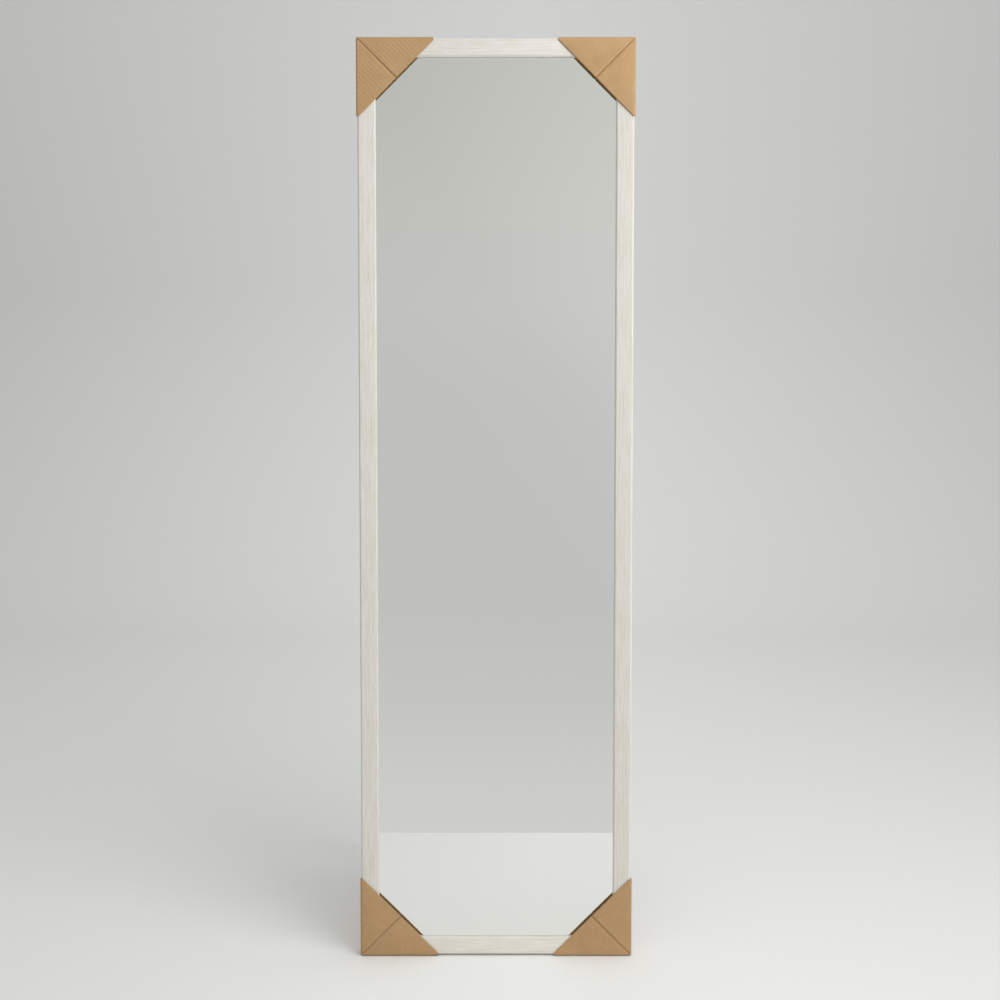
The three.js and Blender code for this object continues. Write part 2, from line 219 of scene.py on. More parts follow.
def whitewash(name, direction, shift, tone):
    """Painted grain; its tone darkens a whole board, as painted shade on the side
    away from the key light.
    """
    finish, shader = start_finish(name, 0.62)
    grain = along_grain(finish, TURN_TO_GRAIN[direction], shift)
    rings = add_node(
        finish,
        "TexWave",
        {
            "Vector": stretched(finish, grain, 0.3),
            "Scale": 55.0,
            "Distortion": 11.0,
            "Detail": 1.5,
            "Detail Scale": 0.22,
        },
        wave_type="RINGS",
        rings_direction="Z",
        wave_profile="SAW",
    ).outputs["Fac"]
    streaks = noise(finish, stretched(finish, grain, 0.05), 460, 3, 0.6)
    bands = noise(finish, stretched(finish, grain, 0.1), 150, 2, 0.5)
    pores = noise(finish, stretched(finish, grain, 0.09), 900, 1, 0.4)

    ring_steps = [(0.0, CHALK_WHITE), (0.72, GRAIN_CREAM), (1.0, GRAIN_BEIGE)]
    streak_steps = [(0.36, (0.9, 0.88, 0.86)), (0.56, (1, 1, 1))]
    band_steps = [(0.36, (0.95, 0.925, 0.9)), (0.62, (1, 1, 1))]
    pore_steps = [(0.67, (1, 1, 1)), (0.73, (0.8, 0.76, 0.71))]
    ringed = colour_steps(finish, rings, toned(ring_steps, tone))
    streaked = multiplied(finish, ringed, 0.75, streaks, streak_steps)
    banded = multiplied(finish, streaked, 0.6, bands, band_steps)
    colour = multiplied(finish, banded, 0.6, pores, pore_steps)
    wire(finish, colour, shader.inputs["Base Color"])
    rough = add_node(
        finish, "MapRange", {"Value": streaks, "To Min": 0.72, "To Max": 0.54}
    )
    wire(finish, rough.outputs["Result"], shader.inputs["Roughness"])
    fine = bump(finish, streaks, 0.2, 0.0002)
    wire(finish, bump(finish, pores, 0.1, 0.0002, fine), shader.inputs["Normal"])
    return finish


print("whitewash recipe ready")

# %% [markdown]
# ## Bare timber
# The mitre keys and the glazing beads behind the glass are plain birch, planed
# and never painted. Rings like those of the painted boards would do as well, but
# birch shows hardly any, so long fine streaks in a warmer colour are enough.

# %% Bare birch
def bare_birch(name, direction, shift):
    finish, shader = start_finish(name, 0.7)
    grain = along_grain(finish, TURN_TO_GRAIN[direction], shift)
    streaks = noise(finish, stretched(finish, grain, 0.03), 600, 4, 0.65, 0.6)
    colour = colour_steps(
        finish, streaks, [(0.3, (0.55, 0.4, 0.24)), (0.6, (0.71, 0.56, 0.37))]
    )
    wire(finish, colour, shader.inputs["Base Color"])
    wire(finish, bump(finish, streaks, 0.3, 0.0002), shader.inputs["Normal"])
    return finish


print("birch recipe ready")

# %% [markdown]
# ## Kraft board
# Corrugated board is brown paper over flutes. The paper is a felt of short
# fibres, a little blotchy, with darker specks of recycled pulp, and quite dull.
# Painted shade darkens it along the seam, the long cut edge and the front
# folds, where shade falls on the real board: each board carries that as a
# number on its vertices. The flutes themselves are real geometry further
# down, so the finish adds only what is finer than that.

# %% Kraft board
# The brown that paints shade into the seam, the long cut edge and the front folds.
PAINTED_SHADE_BROWN = (0.45, 0.4, 0.36, 1)


def kraft_board(name, tone):
    """Brown paper; tone lightens or darkens a whole board, painting light that falls
    off away from the key.
    """
    finish, shader = start_finish(name, 0.88)
    place = object_place(finish)
    blotches = noise(finish, place, 28, 3, 0.55)
    fibres = noise(finish, place, 1400, 4, 0.7, 1.2)
    specks = noise(finish, place, 2300, 1, 0.5)
    mottle = noise(finish, place, 330, 2, 0.6)
    brown_steps = [(0.3, (0.475, 0.303, 0.155)), (0.7, (0.525, 0.338, 0.178))]
    fibre_steps = [(0.3, (0.88, 0.86, 0.84)), (0.7, (1, 1, 1))]
    speck_steps = [(0.24, (0.6, 0.5, 0.42)), (0.31, (1, 1, 1))]
    mottle_steps = [(0.35, (0.94, 0.93, 0.92)), (0.65, (1.03,) * 3)]
    base = colour_steps(finish, blotches, toned(brown_steps, tone))
    fibrous = multiplied(finish, base, 0.8, fibres, fibre_steps)
    specked = multiplied(finish, fibrous, 0.6, specks, speck_steps)
    mottled = multiplied(finish, specked, 1.0, mottle, mottle_steps)
    # Painted shade, as strong as the number on each vertex.
    crease = add_node(finish, "Attribute", attribute_name="crease").outputs["Fac"]
    with_painted_shade = blend_colours(finish, "MULTIPLY", crease, mottled, PAINTED_SHADE_BROWN)
    wire(finish, with_painted_shade, shader.inputs["Base Color"])
    shader.inputs["Specular IOR Level"].default_value = 0.25
    wire(finish, bump(finish, fibres, 0.35, 0.00015), shader.inputs["Normal"])
    return finish


print("kraft recipe ready")

# %% [markdown]
# ## Mirror glass, hardboard, zinc and rubber
# Silvered glass is modelled as a coloured metal with almost no roughness: the
# real path through the glass and back would double every edge and slow the
# render for nothing. Soda glass is slightly green, which shows most on its
# ground edge, so a second finish covers the edges, and a third the grey paint
# on its back. Hardboard, zinc plate and rubber each get a fine texture of their
# own, because nothing real has one flat colour.

# %% Glass, board, metal and rubber
def silvered_glass():
    finish, shader = start_finish("silvered_glass", 0.012, 1.0)
    place = object_place(finish)
    haze = noise(finish, place, 3.0, 2, 0.5)
    colour = colour_steps(
        finish, haze, [(0.3, (0.869, 0.876, 0.857)), (0.7, (0.875, 0.88, 0.863))]
    )
    wire(finish, colour, shader.inputs["Base Color"])
    return finish


def ground_glass_edge():
    finish, shader = start_finish("ground_glass_edge", 0.35)
    place = object_place(finish)
    grinding = noise(finish, place, 900, 2, 0.6)
    colour = colour_steps(
        finish, grinding, [(0.3, (0.16, 0.3, 0.24)), (0.7, (0.24, 0.42, 0.34))]
    )
    wire(finish, colour, shader.inputs["Base Color"])
    wire(finish, bump(finish, grinding, 0.2, 0.0001), shader.inputs["Normal"])
    return finish


def backing_paint():
    finish, shader = start_finish("backing_paint", 0.5)
    place = object_place(finish)
    orange_peel = noise(finish, place, 420, 2, 0.5)
    colour = colour_steps(
        finish, orange_peel, [(0.3, (0.19, 0.2, 0.21)), (0.7, (0.23, 0.24, 0.25))]
    )
    wire(finish, colour, shader.inputs["Base Color"])
    wire(finish, bump(finish, orange_peel, 0.15, 0.0001), shader.inputs["Normal"])
    return finish


def hardboard():
    finish, shader = start_finish("hardboard", 0.8)
    place = object_place(finish)
    fibres = noise(finish, place, 700, 5, 0.75, 1.5)
    clouds = noise(finish, place, 24, 3, 0.55)
    base = colour_steps(
        finish, clouds, [(0.3, (0.26, 0.17, 0.1)), (0.7, (0.29, 0.192, 0.115))]
    )
    fibre_steps = [(0.3, (0.7, 0.68, 0.66)), (0.7, (1, 1, 1))]
    fibrous = multiplied(finish, base, 0.8, fibres, fibre_steps)
    wire(finish, fibrous, shader.inputs["Base Color"])
    wire(finish, bump(finish, fibres, 0.4, 0.0003), shader.inputs["Normal"])
    return finish


def zinc_plate():
    finish, shader = start_finish("zinc_plate", 0.35, 1.0)
    place = object_place(finish)
    bloom = noise(finish, place, 260, 3, 0.6)
    scratches = noise(finish, stretched(finish, place, 14.0), 130, 3, 0.6)
    colour = colour_steps(
        finish, bloom, [(0.3, (0.5, 0.5, 0.49)), (0.7, (0.66, 0.66, 0.63))]
    )
    wire(finish, colour, shader.inputs["Base Color"])
    rough = add_node(
        finish, "MapRange", {"Value": bloom, "To Min": 0.28, "To Max": 0.48}
    )
    wire(finish, rough.outputs["Result"], shader.inputs["Roughness"])
    wire(finish, bump(finish, scratches, 0.12, 0.0001), shader.inputs["Normal"])
    return finish


def foot_rubber():
    finish, shader = start_finish("foot_rubber", 0.8)
    place = object_place(finish)
    scuffs = noise(finish, place, 1100, 3, 0.6)
    colour = colour_steps(
        finish, scuffs, [(0.35, (0.022, 0.022, 0.023)), (0.75, (0.05, 0.05, 0.052))]
    )
    wire(finish, colour, shader.inputs["Base Color"])
    wire(finish, bump(finish, scuffs, 0.3, 0.0001), shader.inputs["Normal"])
    return finish


glass_finishes = (silvered_glass(), ground_glass_edge(), backing_paint())
board_brown = hardboard()
zinc = zinc_plate()
rubber = foot_rubber()
for finish in (*glass_finishes, board_brown, zinc, rubber):
    print("made", finish.name)

# %% [markdown]
# ## Turning CAD solids into finished pieces
# A CAD solid has knife-sharp arrises and flat triangles. A sanded board never
# does. We copy the solid, merge its loose triangles, dissolve the flat ones,
# and bevel the long edges by a fraction of a millimetre. Modelling each board
# again would also work, but the copy keeps every screw hole where it belongs.

# %% Copy, soften and finish
SHARP = math.radians(32)
FLAT = math.radians(0.5)
SAME_PLACE = 1e-6


def solid_copy(node):
    """A merged bmesh of a CAD node, with flat triangles dissolved."""
    work = bmesh.new()
    work.from_mesh(nodes[node].data)
    bmesh.ops.remove_doubles(work, verts=work.verts, dist=SAME_PLACE)
    bmesh.ops.dissolve_limit(
        work, angle_limit=FLAT, verts=work.verts, edges=work.edges
    )
    return work


def soften(work, width, longer_than, segments=2):
    """Bevels the sharp edges that are longer than the given length."""
    edges = [
        edge
        for edge in work.edges
        if edge.is_manifold
        and edge.calc_face_angle() > SHARP
        and edge.calc_length() > longer_than
    ]
    bmesh.ops.bevel(
        work,
        geom=edges,
        affect="EDGES",
        offset=width,
        segments=segments,
        profile=0.5,
        material=-1,
        clamp_overlap=True,
    )


def finished_piece(work, name, body, slot, stands_for, *finishes):
    """Makes the bmesh an object, shades it, and hangs it on its CAD body."""
    for face in work.faces:
        face.smooth = True
    for edge in work.edges:
        edge.smooth = edge.is_manifold and edge.calc_face_angle() < SHARP
    mesh = bpy.data.meshes.new(name)
    work.to_mesh(mesh)
    work.free()
    for finish in finishes:
        mesh.materials.append(finish)
    piece = bpy.data.objects.new(name, mesh)
    bpy.context.scene.collection.objects.link(piece)
    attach(piece, body)
    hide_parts(stands_for)
    print(f"{name}: {len(mesh.polygons)} faces")


print("ready to copy", len(nodes), "CAD nodes")

# %% [markdown]
# ## Painted timber
# Two stiles and two rails make the frame, a batten crosses its back, and two
# legs with two rails make the easel. No two boards come from the same place in
# the tree, so each gets the same whitewash with its grain shifted along. One
# finish for all would be simpler, but then the stiles would look like twins.

# %% Frame and easel members
TIMBERS = [
    # node, body, which way its grain runs, tone of its paint, lowest on the left
    # stile as painted shade away from the key light
    ("frame_stile_left", "mirror", "up_the_frame", 0.9),
    ("frame_stile_right", "mirror", "up_the_frame", 0.99),
    ("frame_rail_top", "mirror", "across", 1.0),
    ("frame_rail_bottom", "mirror", "across", 1.0),
    ("hinge_batten", "mirror", "across", 1.0),
    ("easel_leg_left", "easel", "down_the_leg", 1.0),
    ("easel_leg_right", "easel", "down_the_leg", 1.0),
    ("easel_top_rail", "easel", "across", 1.0),
    ("easel_stretcher", "easel", "across", 1.0),
]
for number, (node, body, direction, tone) in enumerate(TIMBERS, start=1):
    shift = (0.031 * number, 0.017 + 0.013 * number, 0.4 * number)
    finish = whitewash("whitewash_" + node, direction, shift, tone)
    work = solid_copy(node)
    soften(work, width=0.0005, longer_than=0.012)
    finished_piece(work, node + "_board", body, "whitewashed_timber", node, finish)

# %% [markdown]
# ## The glass
# The glass drops into a rebate behind the frame's lip. Its front is the mirror,
# its rim is ground, and its back is painted grey. Three separate sheets would
# leave gaps, so one piece carries three finishes, told apart by which way each
# face points.

# %% Glass
OUT_OF_THE_MIRROR = Vector((0, -math.cos(LEAN), math.sin(LEAN)))
NEARLY_STRAIGHT = 0.9
FRONT, RIM, BACK = range(3)

work = solid_copy("mirror_glass")
soften(work, width=0.0006, longer_than=0.1, segments=1)
for face in work.faces:
    facing = face.normal.dot(OUT_OF_THE_MIRROR)
    if abs(facing) <= NEARLY_STRAIGHT:
        face.material_index = RIM
    else:
        face.material_index = FRONT if facing > 0 else BACK
finished_piece(
    work,
    "mirror_glass_sheet",
    "mirror",
    "silvered_glass",
    "mirror_glass",
    *glass_finishes,
)

# %% [markdown]
# ## Board, beads and mitre keys
# A sheet of hardboard keeps the silvering safe, and four square beads hold it
# and the glass in. A slip of birch is glued across each corner joint. All of it
# is behind or inside, so a small bevel and a plain finish are enough.

# %% Board, beads and mitre keys
work = solid_copy("backing_board")
soften(work, width=0.0004, longer_than=0.1)
finished_piece(
    work, "backing_board_sheet", "mirror", "hardboard", "backing_board", board_brown
)

GRAIN_OF_SIDE = {
    "left": "up_the_frame",
    "right": "up_the_frame",
    "top": "across",
    "bottom": "across",
}
for number, (side, direction) in enumerate(GRAIN_OF_SIDE.items()):
    node = "backing_bead_" + side
    work = solid_copy(node)
    soften(work, width=0.0006, longer_than=0.1)
    birch = bare_birch("birch_bead_" + side, direction, (0.05 * number, 0.02, 0.3))
    finished_piece(work, node + "_strip", "mirror", "bare_timber", node, birch)

key_birch = bare_birch("birch_keys", "across", (0.01, 0.03, 0.1))
for corner in ("top_left", "top_right", "bottom_left", "bottom_right"):
    node = "mitre_key_" + corner
    work = solid_copy(node)
    soften(work, width=0.0003, longer_than=0.002, segments=1)
    finished_piece(work, node + "_slip", "mirror", "bare_timber", node, key_birch)

# %% [markdown]
# ## Hinges, screws and feet
# Two butt hinges in zinc plate carry the easel. Fresh cylinders would make
# rounder knuckles, but the CAD's are fine enough, so a small bevel on the plates
# and smooth shading across the facets finish them. The screws keep their cross
# recesses. The rubber feet get a generous round on every edge, as moulded
# rubber has.

# %% Hardware
def body_of_node(node):
    bodies = frame["record"]["behaviour"]["bodies"]
    return next(body for body, members in bodies.items() if node in members)


for node in sorted(nodes):
    if "leaf" in node or "pin" in node or "screw" in node:
        work = solid_copy(node)
        if "leaf" in node:
            soften(work, width=0.0003, longer_than=0.012)
        finished_piece(
            work, node + "_part", body_of_node(node), "zinc_steel", node, zinc
        )
    if "foot" in node:
        work = solid_copy(node)
        soften(work, width=0.0009, longer_than=0.002, segments=3)
        finished_piece(work, node + "_pad", "easel", "foot_rubber", node, rubber)

# %% [markdown]
# ## Corner protectors: the corrugated sheet
# Each protector is a sheet of corrugated board: a wavy middle paper between two
# flat ones, folded round the frame. Its flutes run parallel to the seam in
# front, so they print through the front as soft ribs. The long cut pinches the
# board to half its depth, and the flutes' open ends show at the short cuts. A
# box with a bump map would look flat at those edges.
# So we make each paper as a grid, wave it, score it where it will bend, and
# only then fold it. One half of the protector covers a stile's end; the other
# half is its mirror image across the seam.

# %% Sizes of the board and its folds
MM = 0.001
BOARD_DEPTH = 2.0 * MM
FOLD_RADIUS = 4.0 * MM
PAPER = 0.3 * MM
FLUTE_PITCH = 6.2 * MM
SEAM_HALF_GAP = 0.1 * MM
MITRE_HALF_GAP = 0.03 * MM
TIP = 6 * MM
POCKET_FRONT = -2.3 * MM
POCKET_BACK = 24.3 * MM
SEAM_ROUND = (1.6 * MM, 4.6 * MM)
SEAM_CRUSH = 0.2
CUT_ROUND = 1.4 * MM
CUT_CRUSH = 0.45
# How far and how strongly painted shade darkens the front folds.
FOLD_REACH = 3.2 * MM
FOLD_PAINTED_SHADE = 0.5
ROUND_SHARES = (0.12, 0.3, 0.55, 1.0)
CUT_SHARES = (0.35, 1.0)
SEGMENTS_PER_FLUTE = 8
FOLD_STEPS = 8
ON_THE_CUT = 1e-7
ROOT_HALF = math.sqrt(0.5)

# A pocket's leg, how far its ribs stand, how steeply its flaps lift, how much
# painted shade darkens its seam and its long cut edge, and the tone of its
# paper, which paints light and shade by how near the key light it hangs.
Pocket = namedtuple("Pocket", "leg rib_height lift crease rim tone")

pocket_depth = POCKET_BACK - POCKET_FRONT
fold_length = FOLD_RADIUS * math.pi / 2
unfolded_depth = pocket_depth - (4 - math.pi) * FOLD_RADIUS
print("a flap, its side and its folds unfold to, mm:", round(unfolded_depth / MM, 1))

# %% [markdown]
# ## Flat papers
# Three papers make the board: the outer liner, the wavy fluting and the inner
# liner. Each is a flat grid with rows fine enough for the waves, and extra cuts
# wherever it will bend, round over or be pressed. Cutting only there keeps the
# mesh light, where an even grid fine enough for the folds would be far heavier.

# %% Flat papers
def flute(across):
    """1 on a flute's crest, -1 in its trough."""
    return math.cos(2 * math.pi * across / FLUTE_PITCH)


def outer_liner(across, pocket):
    return PAPER / 2 + pocket.rib_height * (1 - flute(across)) / 2


def fluting(across, pocket):
    return BOARD_DEPTH / 2 - (BOARD_DEPTH / 2 - 1.5 * PAPER) * flute(across)


def inner_liner(_across, _pocket):
    return BOARD_DEPTH - PAPER / 2


def cut_edge(pocket):
    """How far the sheet reaches along its flutes."""
    return (pocket.leg + TIP) * ROOT_HALF


def flat_paper(depth_at, pocket):
    """A grid with X along the flutes, Y across them, and Z down into the board."""
    nearest = (-unfolded_depth * ROOT_HALF + SEAM_HALF_GAP, SEAM_HALF_GAP)
    furthest = (cut_edge(pocket), cut_edge(pocket) + unfolded_depth * ROOT_HALF)
    length, width = (far - near for near, far in zip(nearest, furthest))
    middle = [(near + far) / 2 for near, far in zip(nearest, furthest)]
    rows = round(width / FLUTE_PITCH * SEGMENTS_PER_FLUTE)
    paper = bmesh.new()
    bmesh.ops.create_grid(paper, x_segments=1, y_segments=rows, size=0.5)
    bmesh.ops.scale(paper, verts=paper.verts, vec=(length, width, 1))
    bmesh.ops.translate(paper, verts=paper.verts, vec=(*middle, 0))
    for vert in paper.verts:
        vert.co.z = depth_at(vert.co.y, pocket)
    return paper


def score(paper, distance, normal, clear=False):
    """Cuts a paper along a straight plane; clear drops what lies beyond it."""
    direction = Vector(normal).normalized()
    bmesh.ops.bisect_plane(
        paper,
        geom=paper.verts[:] + paper.edges[:] + paper.faces[:],
        dist=ON_THE_CUT,
        plane_co=direction * distance,
        plane_no=direction,
        clear_outer=clear,
    )


# Directions on the flat sheet, and how far out the short end cut lies.
INWARD = (1, -1, 0)
DOWN = (1, 1, 0)
ALONG = (1, 0, 0)
ACROSS = (0, 1, 0)
END_CUT = (0.9, 1.1, 0)
END_REACH = math.sqrt(2) / Vector(END_CUT).length


def scored_paper(depth_at, pocket):
    paper = flat_paper(depth_at, pocket)
    score(paper, pocket.leg * END_REACH, END_CUT, clear=True)
    second_fold = FOLD_RADIUS - fold_length - (pocket_depth - 2 * FOLD_RADIUS)
    for start in (FOLD_RADIUS, second_fold):
        for step in range(FOLD_STEPS + 1):
            score(paper, start - fold_length * step / FOLD_STEPS, INWARD)
    for share in ROUND_SHARES:
        reach = SEAM_ROUND[1] * share
        score(paper, SEAM_HALF_GAP + reach, ACROSS)
        score(paper, SEAM_HALF_GAP - unfolded_depth * ROOT_HALF + reach, ALONG)
        score(paper, reach / ROOT_HALF, DOWN)
    for share in CUT_SHARES:
        score(paper, cut_edge(pocket) - CUT_ROUND * share, ALONG)
    return paper


print("cuts for each fold:", FOLD_STEPS + 1)

# %% [markdown]
# ## Folding
# A fold is a change of coordinates. We measure how far a point lies in from the
# stile's edge: up to the first fold it stays flat in front, then it runs round a
# quarter circle, down the side, round a second quarter circle, and onto the
# back. The deeper a point lies in the board, the tighter its quarter circle.
# Bending a lattice or a curve would do the same, less exactly.

# %% Fold one point
def folded(inward, down, depth, lift):
    """Where a point of the flat sheet goes: X inward, Y back, Z up.

    The lift is how steeply the front flap springs away from the frame.
    """
    centre_front = POCKET_FRONT + FOLD_RADIUS
    centre_back = POCKET_BACK - FOLD_RADIUS
    inside = FOLD_RADIUS - depth
    if inward >= FOLD_RADIUS:
        raised = (inward - FOLD_RADIUS) * lift
        return Vector((inward, POCKET_FRONT + depth - raised, -down))
    past = FOLD_RADIUS - inward
    if past <= fold_length:
        angle = past / FOLD_RADIUS
        return Vector(
            (
                FOLD_RADIUS - inside * math.sin(angle),
                centre_front - inside * math.cos(angle),
                -down,
            )
        )
    past -= fold_length
    side = centre_back - centre_front
    if past <= side:
        return Vector((depth, centre_front + past, -down))
    past -= side
    if past <= fold_length:
        angle = past / FOLD_RADIUS
        return Vector(
            (
                FOLD_RADIUS - inside * math.cos(angle),
                centre_back + inside * math.sin(angle),
                -down,
            )
        )
    past -= fold_length
    return Vector((FOLD_RADIUS + past, POCKET_BACK - depth, -down))


def nearness(from_edge, reach):
    """0 beyond the reach of an edge, growing to 1 at the edge itself."""
    near = 1 - min(1.0, max(0.0, from_edge) / reach)
    return near * near


def seam_nearness(place, pocket):
    """The seam's two edges round over more and more towards the open end."""
    share = max(0.0, (place.x - place.z) * ROOT_HALF) / cut_edge(pocket)
    reach = SEAM_ROUND[0] + (SEAM_ROUND[1] - SEAM_ROUND[0]) * min(1.0, share)
    return nearness(abs(place.x + place.z) * ROOT_HALF, reach)


def fold_nearness(place):
    """How near a point lies to the front folds, which get a little painted shade."""
    from_side = nearness(min(place.x, -place.z), FOLD_REACH)
    return from_side * nearness(place.y - POCKET_FRONT, 2 * FOLD_REACH)


def crushed(near_seam, near_cut, depth):
    """The board is pressed thinner at the seam and along its cut edge."""
    keep = (1 - (1 - SEAM_CRUSH) * near_seam) * (1 - (1 - CUT_CRUSH) * near_cut)
    return BOARD_DEPTH - (BOARD_DEPTH - depth) * keep


folded_back = folded(-pocket_depth, 0, 0, 0)
print("a point one depth past the edge lands at, mm:", (folded_back / MM)[:])

# %% [markdown]
# ## One pocket from six papers
# Three papers are folded into one half, trimmed at the mitre and given their
# thickness. The other half is the same three, mirrored across the seam. A
# mirror modifier would do it live, but its plane would need an object of its
# own, and a copied mesh is simpler to place four times.

# %% Build one half and the whole pocket
def folded_paper(depth_at, pocket):
    paper = scored_paper(depth_at, pocket)
    for vert in paper.verts:
        along, across, depth = vert.co
        inward = (along - across) * ROOT_HALF
        down = (along + across) * ROOT_HALF
        near_seam = seam_nearness(folded(inward, down, depth, pocket.lift), pocket)
        near_cut = nearness(cut_edge(pocket) - along, CUT_ROUND)
        depth = crushed(near_seam, near_cut, depth)
        vert.co = folded(inward, down, depth, pocket.lift * (1 - near_seam))
    score(paper, -MITRE_HALF_GAP, OVER_THE_SEAM, clear=True)
    bmesh.ops.recalc_face_normals(paper, faces=paper.faces)
    bmesh.ops.solidify(paper, geom=paper.faces[:], thickness=PAPER)
    bmesh.ops.recalc_face_normals(paper, faces=paper.faces)
    return paper


OVER_THE_SEAM = (1, 0, 1)
PAPERS = (outer_liner, fluting, inner_liner)
ACROSS_THE_SEAM = Matrix(((0, 0, -1, 0), (0, 1, 0, 0), (-1, 0, 0, 0), (0, 0, 0, 1)))


def corner_pocket(pocket):
    """Both halves of a protector, its outer corner at the origin."""
    work = bmesh.new()
    carrier = bpy.data.meshes.new("carrier")
    for depth_at in PAPERS:
        paper = folded_paper(depth_at, pocket)
        paper.to_mesh(carrier)
        paper.free()
        work.from_mesh(carrier)
    bpy.data.meshes.remove(carrier)
    half = work.verts[:] + work.edges[:] + work.faces[:]
    twin = bmesh.ops.duplicate(work, geom=half)["geom"]
    twin_verts = [item for item in twin if isinstance(item, bmesh.types.BMVert)]
    twin_faces = [item for item in twin if isinstance(item, bmesh.types.BMFace)]
    bmesh.ops.transform(work, verts=twin_verts, matrix=ACROSS_THE_SEAM)
    bmesh.ops.reverse_faces(work, faces=twin_faces)
    # Painted shade on each vertex: along the seam, the long cut edge and the front
    # folds.
    crease = work.verts.layers.float.new("crease")
    for vert in work.verts:
        shade_at_seam = pocket.crease * seam_nearness(vert.co, pocket) ** 3
        along = (vert.co.x - vert.co.z) * ROOT_HALF
        # Painted shadow along the long cut edge, where the flap casts it.
        shade_at_cut = pocket.rim * nearness(cut_edge(pocket) - along, CUT_ROUND) ** 0.5
        vert[crease] = max(shade_at_seam, shade_at_cut, FOLD_PAINTED_SHADE * fold_nearness(vert.co))
    return work


print("papers in one pocket:", 2 * len(PAPERS))

# %% [markdown]
# ## Placing the protectors
# In the frame's own coordinates, each corner is the same pocket turned by a
# quarter. The glass is a plain box in those coordinates, so its leaning box
# tells us where the frame's lower front edge stands. The lower two protectors
# carry the mirror, so whatever would reach below the floor is pressed flat.
# Four copies of one pocket would be lighter work, but board is never quite
# regular: one protector shows its ribs more than the others, and some flaps
# spring further off the frame.

# %% Place the four protectors
GLASS_FRONT = 5.8 * MM
GLASS_BACK = 9.8 * MM
GLASS_BOTTOM = 24 * MM
FRAME_HEIGHT = 1599 * MM
POCKET_PLAY = 2.3 * MM
UPPER_LEG = 133 * MM
LOWER_LEG = 137 * MM

glass_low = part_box("mirror_glass")[0]
frame_edge = Vector(
    (
        0,
        glass_low.y - GLASS_FRONT * math.cos(LEAN) - GLASS_BOTTOM * math.sin(LEAN),
        glass_low.z + GLASS_BACK * math.sin(LEAN) - GLASS_BOTTOM * math.cos(LEAN),
    )
)
leaned = Matrix.Translation(frame_edge) @ Matrix.Rotation(-LEAN, 4, "X")
side_x = -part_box("corner_protector_top_left")[0].x
above = FRAME_HEIGHT + POCKET_PLAY
below = -POCKET_PLAY
CORNERS = {
    # leg, rib height, lift, painted seam shade, painted cut edge shade and
    # tone of each, the tone painting light by nearness to the key, then x, z and
    # turns
    "top_left": (UPPER_LEG, 0.25 * MM, 0.013, 1.0, 0.2, 1.0, -side_x, above, 0),
    "top_right": (UPPER_LEG, 0.10 * MM, 0.040, 0.05, 1.0, 1.12, side_x, above, 1),
    "bottom_right": (LOWER_LEG, 0.12 * MM, 0.022, 0.7, 0.0, 0.97, side_x, below, 2),
    "bottom_left": (LOWER_LEG, 0.10 * MM, 0.019, 0.0, 0.0, 0.93, -side_x, below, 3),
}
for corner, (*habits, x, z, quarter_turns) in CORNERS.items():
    node = "corner_protector_" + corner
    pocket = Pocket(*habits)
    work = corner_pocket(pocket)
    turn = Matrix.Rotation(math.radians(90 * quarter_turns), 4, "Y")
    place = leaned @ Matrix.Translation((x, 0, z)) @ turn
    bmesh.ops.transform(work, verts=work.verts, matrix=place)
    for vert in work.verts:
        vert.co.z = max(vert.co.z, 0.0)
    kraft = kraft_board("kraft_board_" + corner, pocket.tone)
    finished_piece(
        work, node + "_board", "protector_" + corner, "kraft_board", node, kraft
    )
print("frame's front bottom edge, metres:", frame_edge[:])

# %% [markdown]
# ## A plain stage
# The mirror stands on a pale floor that curves up into a backdrop, so that no
# horizon line crosses the view. We spin a short profile round the curve and
# draw it out sideways. Two planes and a bevel would do too. The floor ends a
# little way in front, because the mirror shows where it ends. Its grey is painted
# paler in the middle than far out to the sides: a painted pool of light, as a
# lamp leaves on a paper roll.

# %% Stage
FLOOR_FRONT = -1.255
FLOOR_BACK = 2.2
FLOOR_HALF_WIDTH = 5.0
SWEEP_RADIUS = 1.2
SWEEP_STEPS = 32
BACKDROP_RISE = 4.0
# The grey falls off from the middle to the sides: a painted pool of light on the
# stage.
STAGE_MIDDLE = (-0.02, 0, 0)
STAGE_FALL_OFF = (0.2, 0, 0)
STAGE_GREYS_WITH_PAINTED_LIGHT = [(0.3, (0.615, 0.615, 0.625)), (1.0, (0.865, 0.865, 0.87))]

sweep = bmesh.new()
start = sweep.verts.new((-FLOOR_HALF_WIDTH, FLOOR_FRONT, 0))
end_vert = sweep.verts.new((-FLOOR_HALF_WIDTH, FLOOR_BACK, 0))
sweep.edges.new((start, end_vert))
turned = bmesh.ops.spin(
    sweep,
    geom=[end_vert],
    cent=(0, FLOOR_BACK, SWEEP_RADIUS),
    axis=(1, 0, 0),
    angle=math.radians(90),
    steps=SWEEP_STEPS,
    use_merge=False,
)
top = turned["geom_last"][0]
raised = bmesh.ops.extrude_vert_indiv(sweep, verts=[top])
bmesh.ops.translate(sweep, verts=raised["verts"], vec=(0, 0, BACKDROP_RISE))
across = bmesh.ops.extrude_edge_only(sweep, edges=sweep.edges[:])
moved = [item for item in across["geom"] if isinstance(item, bmesh.types.BMVert)]
bmesh.ops.translate(sweep, verts=moved, vec=(2 * FLOOR_HALF_WIDTH, 0, 0))
bmesh.ops.recalc_face_normals(sweep, faces=sweep.faces)
for face in sweep.faces:
    face.smooth = True
floor_mesh = bpy.data.meshes.new("floor")
sweep.to_mesh(floor_mesh)
sweep.free()
floor = bpy.data.objects.new("floor", floor_mesh)
bpy.context.scene.collection.objects.link(floor)

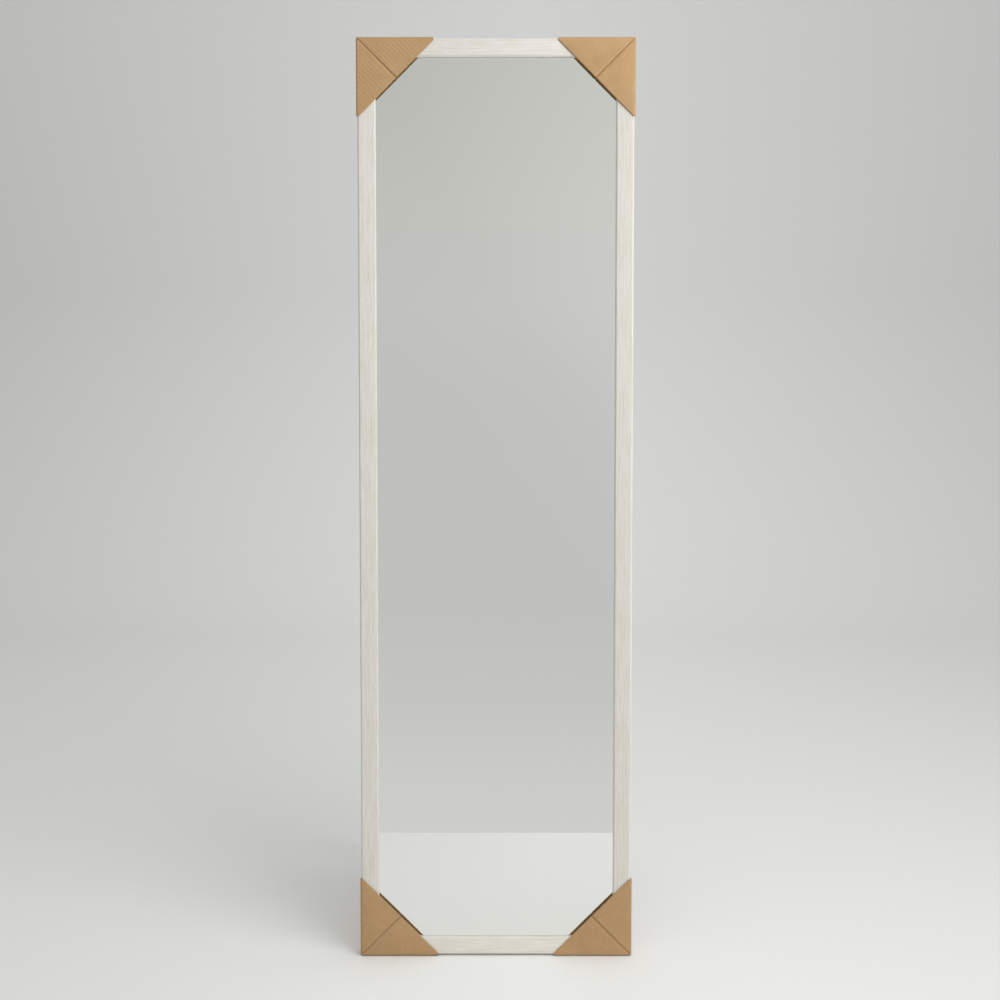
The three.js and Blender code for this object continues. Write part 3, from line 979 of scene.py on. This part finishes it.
stage_finish, stage_shader = start_finish("stage_paint", 0.9)
stage_place = object_place(stage_finish)
from_middle = add_node(
    stage_finish,
    "Mapping",
    {"Vector": stage_place, "Location": STAGE_MIDDLE, "Scale": STAGE_FALL_OFF},
).outputs["Vector"]
painted_light_fall_off = add_node(
    stage_finish, "TexGradient", {"Vector": from_middle}, gradient_type="SPHERICAL"
).outputs["Fac"]
stage_colour_with_painted_light = colour_steps(stage_finish, painted_light_fall_off, STAGE_GREYS_WITH_PAINTED_LIGHT)
wire(stage_finish, stage_colour_with_painted_light, stage_shader.inputs["Base Color"])
stage_shader.inputs["Specular IOR Level"].default_value = 0.1
floor_mesh.materials.append(stage_finish)
print("floor and backdrop, metres wide:", 2 * FLOOR_HALF_WIDTH)

# %% [markdown]
# ## Soft light from the upper right
# Light comes from everywhere in the room, and a large soft panel to the upper
# right adds a gentle shadow. The mirror shows the room in front of it, so the
# room has to be graded: the same grey lights the frame and fills the glass.
# Modelling a real room would put too much detail in the glass. A colour ramp by
# height, with a glow round the panel, gives a calm reflection.

# %% Lights
TOWARDS_KEY = Vector((0.60, -0.65, 0.47)).normalized()
KEY_AIM = Vector((0, 0, 0.95))
KEY_DISTANCE = 2.0
KEY_SIZE = 1.5
KEY_WATTS = 17.5
ROOM = [
    # how far up the look goes, how bright the room is there
    (-0.20, 0.70),
    (-0.165, 0.686),
    (-0.11, 0.635),
    (-0.04, 0.60),
    (0.10, 0.60),
    (0.17, 0.61),
    (0.24, 0.59),
    (0.33, 0.535),
    (0.95, 0.92),
]
ROOM_LOW, ROOM_HIGH = ROOM[0][0], ROOM[-1][0]
GREENER_FROM = 0.2
KEY_GLOW = [
    (0.66, (0.0,) * 3),
    (0.72, (0.02,) * 3),
    (0.8, (0.1,) * 3),
    (1.0, (0.3,) * 3),
]
DARKER_ON_THE_LEFT = [
    (0.0, (0.35,) * 3),
    (0.43, (1.0,) * 3),
    (0.57, (1.0,) * 3),
    (1.0, (1.4,) * 3),
]


def room_tone(z, level):
    """A very slightly green grey, greener where the look goes up."""
    return (level * 0.995, level, level * (0.985 if z < GREENER_FROM else 0.95))


room = bpy.data.worlds.new("studio_room")
bpy.context.scene.world = room
room.use_nodes = True
background = room.node_tree.nodes["Background"]
look = add_node(room, "TexCoord").outputs["Generated"]
look_parts = add_node(room, "SeparateXYZ", {"Vector": look}).outputs
height = look_parts["Z"]
height_share = add_node(
    room, "MapRange", {"Value": height, "From Min": ROOM_LOW, "From Max": ROOM_HIGH}
).outputs["Result"]
walls = colour_steps(
    room,
    height_share,
    [
        ((z - ROOM_LOW) / (ROOM_HIGH - ROOM_LOW), room_tone(z, level))
        for z, level in ROOM
    ],
)
near_key = add_node(
    room, "VectorMath", {0: look, 1: TOWARDS_KEY}, operation="DOT_PRODUCT"
).outputs["Value"]
glow = colour_steps(room, near_key, KEY_GLOW)
sideways = look_parts["X"]
side_share = add_node(room, "MapRange", {"Value": sideways, "From Min": -1.0})
sides = colour_steps(room, side_share.outputs["Result"], DARKER_ON_THE_LEFT)
front = blend_colours(room, "ADD", 1.0, walls, glow)
graded = blend_colours(room, "MULTIPLY", 1.0, front, sides)
wire(room, graded, background.inputs["Color"])


def soft_panel(name, towards, aim, distance, size, power):
    lamp = bpy.data.lights.new(name, "AREA")
    lamp.shape = "SQUARE"
    lamp.size = size
    lamp.energy = power
    panel = bpy.data.objects.new(name, lamp)
    panel.location = aim + towards * distance
    panel.rotation_euler = (-towards).to_track_quat("-Z", "Y").to_euler()
    bpy.context.scene.collection.objects.link(panel)
    return panel


key = soft_panel("key", TOWARDS_KEY, KEY_AIM, KEY_DISTANCE, KEY_SIZE, KEY_WATTS)
bpy.context.scene.view_settings.view_transform = "Standard"
print("key panel at, metres:", [round(value, 2) for value in key.location])
